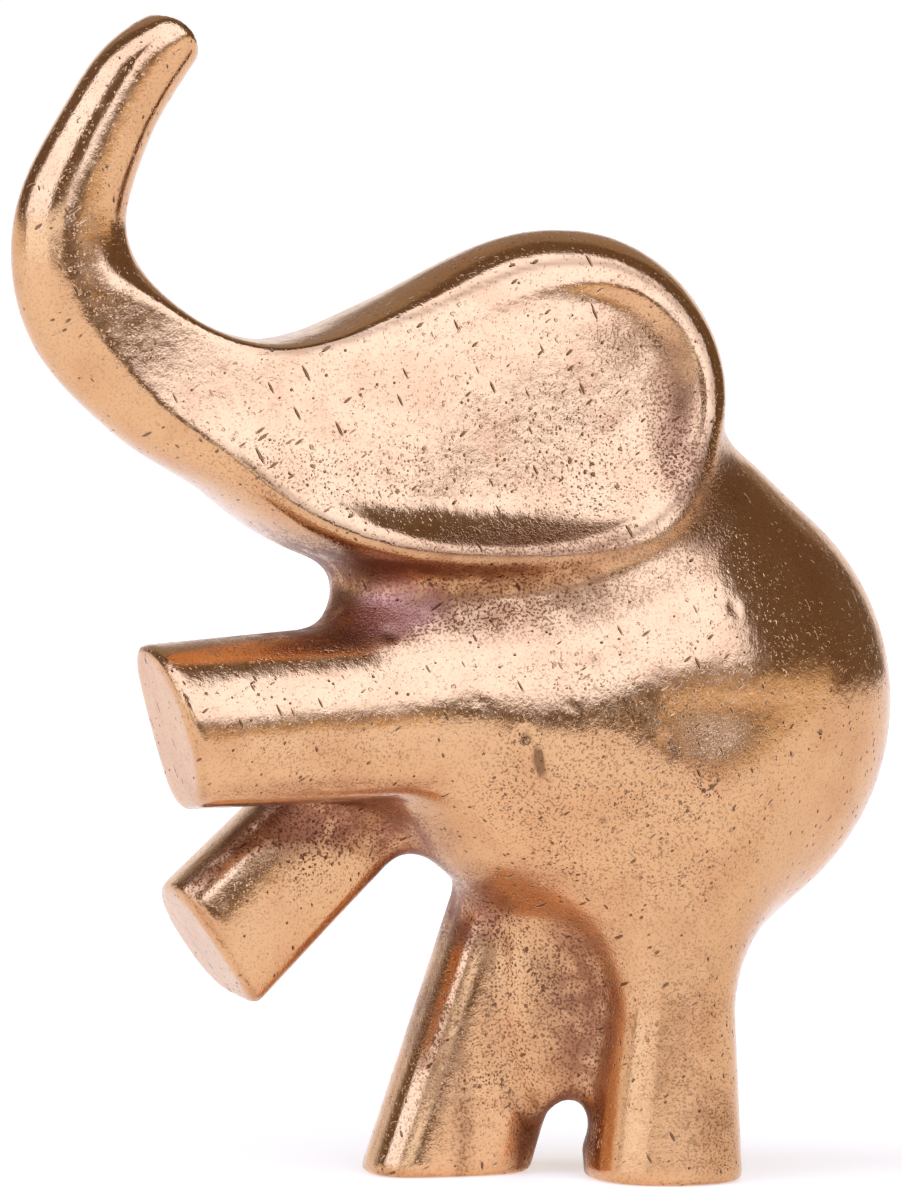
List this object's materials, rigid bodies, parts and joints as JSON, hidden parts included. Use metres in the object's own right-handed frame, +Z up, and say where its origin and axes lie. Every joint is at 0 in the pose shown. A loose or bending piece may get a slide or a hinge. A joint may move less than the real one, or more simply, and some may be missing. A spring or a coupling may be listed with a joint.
{
  "type": "elephant figurine",
  "caption": "Small solid bronze desk figure of an elephant with a lifted trunk and raised front legs, standing on its hind feet, polished and unmarked.",
  "frame": {"origin": "On the surface that the figure stands on, under the middle of its bounding box.", "axes": "Z is up through the figure's height. The figure faces -X. Its left side, with the near legs, faces -Y."},
  "size_m": [0.0708, 0.0286, 0.0901],
  "materials": {
    "polished_bronze": "polished"
  },
  "bodies": {
    "root": {"elephant": "polished_bronze"}
  },
  "joints": []
}
